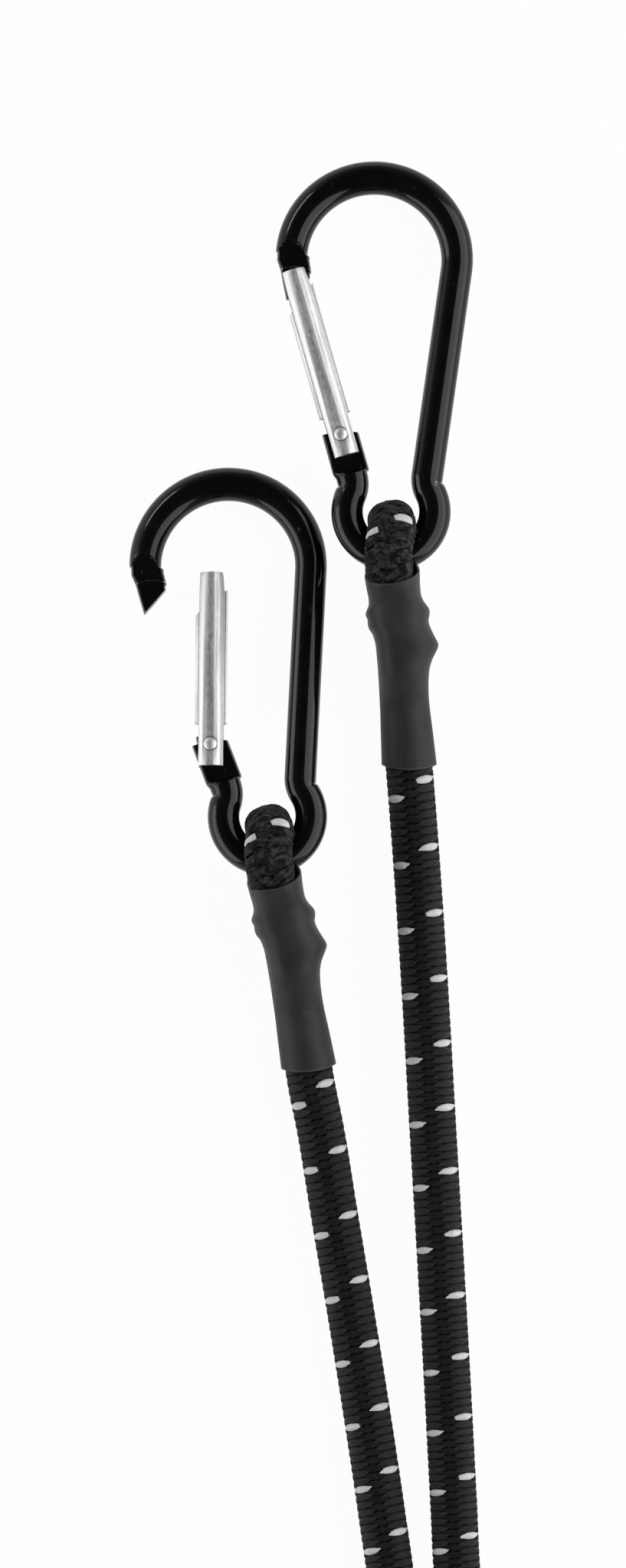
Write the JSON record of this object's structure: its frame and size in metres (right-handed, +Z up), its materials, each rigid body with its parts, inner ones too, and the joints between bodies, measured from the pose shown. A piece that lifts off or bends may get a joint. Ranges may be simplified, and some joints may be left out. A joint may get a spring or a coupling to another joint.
{
  "type": "bungee cord with carabiner hooks",
  "caption": "Elastic braided cord folded over a snap hook at each end, held by a crimp under a shrunk sleeve, for lashing loads.",
  "frame": {"origin": "on the surface the cord lies on, under the middle of the two hook ends", "axes": "+Z up from the surface, +Y from the folded cord towards the hooks, +X across"},
  "size_m": [0.0852, 0.3427, 0.0246],
  "materials": {
    "braid": "black braided yarn with a light tracer",
    "latex": "natural rubber threads",
    "black_bar": "glossy black coating",
    "bright_gate": "bright drawn aluminium",
    "rivet": "polished",
    "steel": "plain wire",
    "sleeve": "matte charcoal shrink tube"
  },
  "bodies": {
    "cord": {"cord_cover": "braid", "cord_core": "latex", "left_cord_loop": "braid", "left_loop_core": "latex", "left_crimp": "steel", "left_sleeve": "sleeve"},
    "right_end": {"right_cord_loop": "braid", "right_loop_core": "latex", "right_crimp": "steel", "right_sleeve": "sleeve"},
    "left_hook": {"left_carabiner": "black_bar"},
    "left_gate_body": {"left_gate": "bright_gate", "left_gate_rivet": "rivet", "left_gate_spring": "steel"},
    "left_plunger_body": {"left_gate_plunger": "steel"},
    "right_hook": {"right_carabiner": "black_bar"},
    "right_gate_body": {"right_gate": "bright_gate", "right_gate_rivet": "rivet", "right_gate_spring": "steel"},
    "right_plunger_body": {"right_gate_plunger": "steel"}
  },
  "joints": [
    {"name": "cord_stretch", "type": "slide", "parent": "cord", "child": "right_end", "axis": [-0.0715, 0.9974, 0], "range_m": [0, 0.15], "stiffness_N_per_m": 400, "deforming": ["cord_cover", "cord_core"]},
    {"name": "left_swing", "type": "hinge", "parent": "cord", "child": "left_hook", "pos_m": [-0.00513, -0.04625, 0.01305], "axis": [0.9869, 0.1616, 0], "range_deg": [-70, 85]},
    {"name": "left_gate_open", "type": "hinge", "parent": "left_hook", "child": "left_gate_body", "pos_m": [-0.01734, -0.02441, 0.00979], "axis": [0.0222, -0.1356, -0.9905], "range_deg": [-20, 15], "stiffness_Nm_per_rad": 0.1, "springref_deg": -40.11},
    {"name": "left_plunger_slide", "type": "slide", "parent": "left_gate_body", "child": "left_plunger_body", "axis": [-0.0037, 0.9907, -0.1357], "range_m": [-0.0007, 0.00053], "deforming": ["left_gate_spring"]},
    {"name": "right_swing", "type": "hinge", "parent": "right_end", "child": "right_hook", "pos_m": [0.01777, 0.01202, 0.01305], "axis": [0.9974, 0.0715, 0], "range_deg": [-70, 85]},
    {"name": "right_gate_open", "type": "hinge", "parent": "right_hook", "child": "right_gate_body", "pos_m": [0.00759, 0.03487, 0.00979], "axis": [0.0098, -0.137, -0.9905], "range_deg": [0, 35], "stiffness_Nm_per_rad": 0.1, "springref_deg": -20.05},
    {"name": "right_plunger_slide", "type": "slide", "parent": "right_gate_body", "child": "right_plunger_body", "axis": [-0.2598, 0.9562, -0.1348], "range_m": [0, 0.0013], "deforming": ["right_gate_spring"]}
  ],
  "couplings": [
    {"joint": "left_plunger_slide", "follows": "left_gate_open", "m_per_rad": 0.0019644},
    {"joint": "right_plunger_slide", "follows": "right_gate_open", "m_per_rad": 0.0019644}
  ]
}
